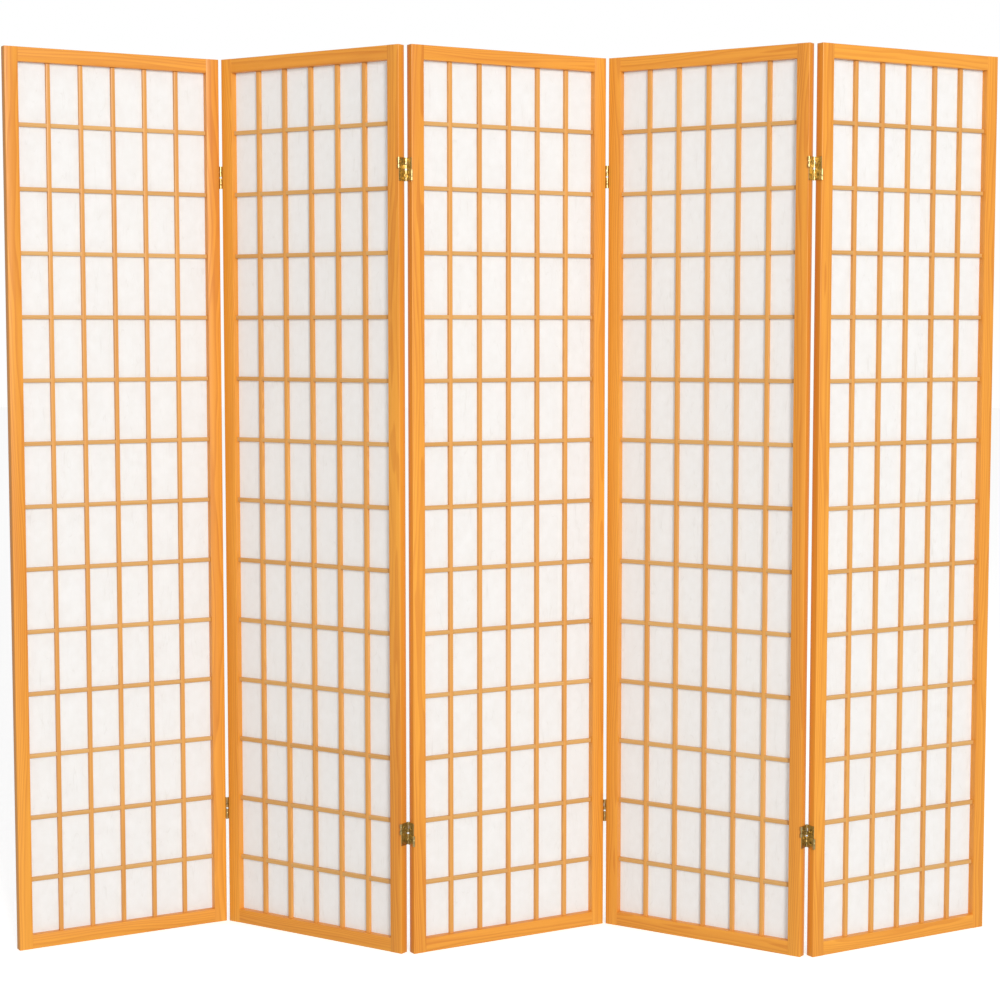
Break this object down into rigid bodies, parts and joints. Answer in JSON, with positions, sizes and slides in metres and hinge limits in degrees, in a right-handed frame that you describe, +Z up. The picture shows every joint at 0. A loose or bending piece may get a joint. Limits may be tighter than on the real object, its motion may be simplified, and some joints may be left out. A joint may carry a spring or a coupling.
{
  "type": "folding shoji screen",
  "caption": "Free-standing folding room screen: hinged wooden frames in a zigzag, each with a half-lapped lattice backed by white paper.",
  "frame": {"origin": "the middle of the third panel, on the floor, which is also the middle of the whole screen's floor area", "axes": "+X along the row of panels, to the right as seen from the front; the front, with the lattice, faces -Y; +Z up"},
  "size_m": [1.9648, 0.2592, 1.784],
  "materials": {
    "frame_wood": "honey-orange satin lacquer over straight-grained softwood",
    "lattice_wood": "same lacquer, thinner and a little paler",
    "washi": "matt laminated paper with scattered long fibres",
    "brass": "bright-dipped sheet brass, slightly toned",
    "screw_brass": "bright brass screw heads"
  },
  "bodies": {
    "panel_1": {"stile_left_1": "frame_wood", "stile_right_1": "frame_wood", "rail_top_1": "frame_wood", "rail_bottom_1": "frame_wood", "lattice_uprights_1": "lattice_wood", "lattice_crossbars_1": "lattice_wood", "paper_1": "washi", "hinge_leaves_1": "brass", "hinge_pins_1": "brass", "hinge_screws_1": "screw_brass", "hinge_lower_links_1_2": "brass"},
    "panel_2": {"stile_left_2": "frame_wood", "stile_right_2": "frame_wood", "rail_top_2": "frame_wood", "rail_bottom_2": "frame_wood", "lattice_uprights_2": "lattice_wood", "lattice_crossbars_2": "lattice_wood", "paper_2": "washi", "hinge_leaves_2": "brass", "hinge_pins_2": "brass", "hinge_screws_2": "screw_brass", "hinge_upper_links_1_2": "brass", "hinge_upper_links_2_3": "brass"},
    "panel_3": {"stile_left_3": "frame_wood", "stile_right_3": "frame_wood", "rail_top_3": "frame_wood", "rail_bottom_3": "frame_wood", "lattice_uprights_3": "lattice_wood", "lattice_crossbars_3": "lattice_wood", "paper_3": "washi", "hinge_leaves_3": "brass", "hinge_pins_3": "brass", "hinge_screws_3": "screw_brass", "hinge_lower_links_2_3": "brass", "hinge_lower_links_3_4": "brass"},
    "panel_4": {"stile_left_4": "frame_wood", "stile_right_4": "frame_wood", "rail_top_4": "frame_wood", "rail_bottom_4": "frame_wood", "lattice_uprights_4": "lattice_wood", "lattice_crossbars_4": "lattice_wood", "paper_4": "washi", "hinge_leaves_4": "brass", "hinge_pins_4": "brass", "hinge_screws_4": "screw_brass", "hinge_upper_links_3_4": "brass", "hinge_upper_links_4_5": "brass"},
    "panel_5": {"stile_left_5": "frame_wood", "stile_right_5": "frame_wood", "rail_top_5": "frame_wood", "rail_bottom_5": "frame_wood", "lattice_uprights_5": "lattice_wood", "lattice_crossbars_5": "lattice_wood", "paper_5": "washi", "hinge_leaves_5": "brass", "hinge_pins_5": "brass", "hinge_screws_5": "screw_brass", "hinge_lower_links_4_5": "brass"}
  },
  "joints": [
    {"name": "fold_1_2", "type": "hinge", "parent": "panel_2", "child": "panel_1", "pos_m": [-0.5913, 0.10659, 0.892], "axis": [0, 0, 1], "range_deg": [-28, 117]},
    {"name": "fold_2_3", "type": "hinge", "parent": "panel_3", "child": "panel_2", "pos_m": [-0.1971, -0.10659, 0.892], "axis": [0, 0, -1], "range_deg": [-28, 117]},
    {"name": "fold_3_4", "type": "hinge", "parent": "panel_3", "child": "panel_4", "pos_m": [0.1971, 0.10659, 0.892], "axis": [0, 0, -1], "range_deg": [-28, 117]},
    {"name": "fold_4_5", "type": "hinge", "parent": "panel_4", "child": "panel_5", "pos_m": [0.5913, -0.10659, 0.892], "axis": [0, 0, 1], "range_deg": [-28, 117]}
  ]
}
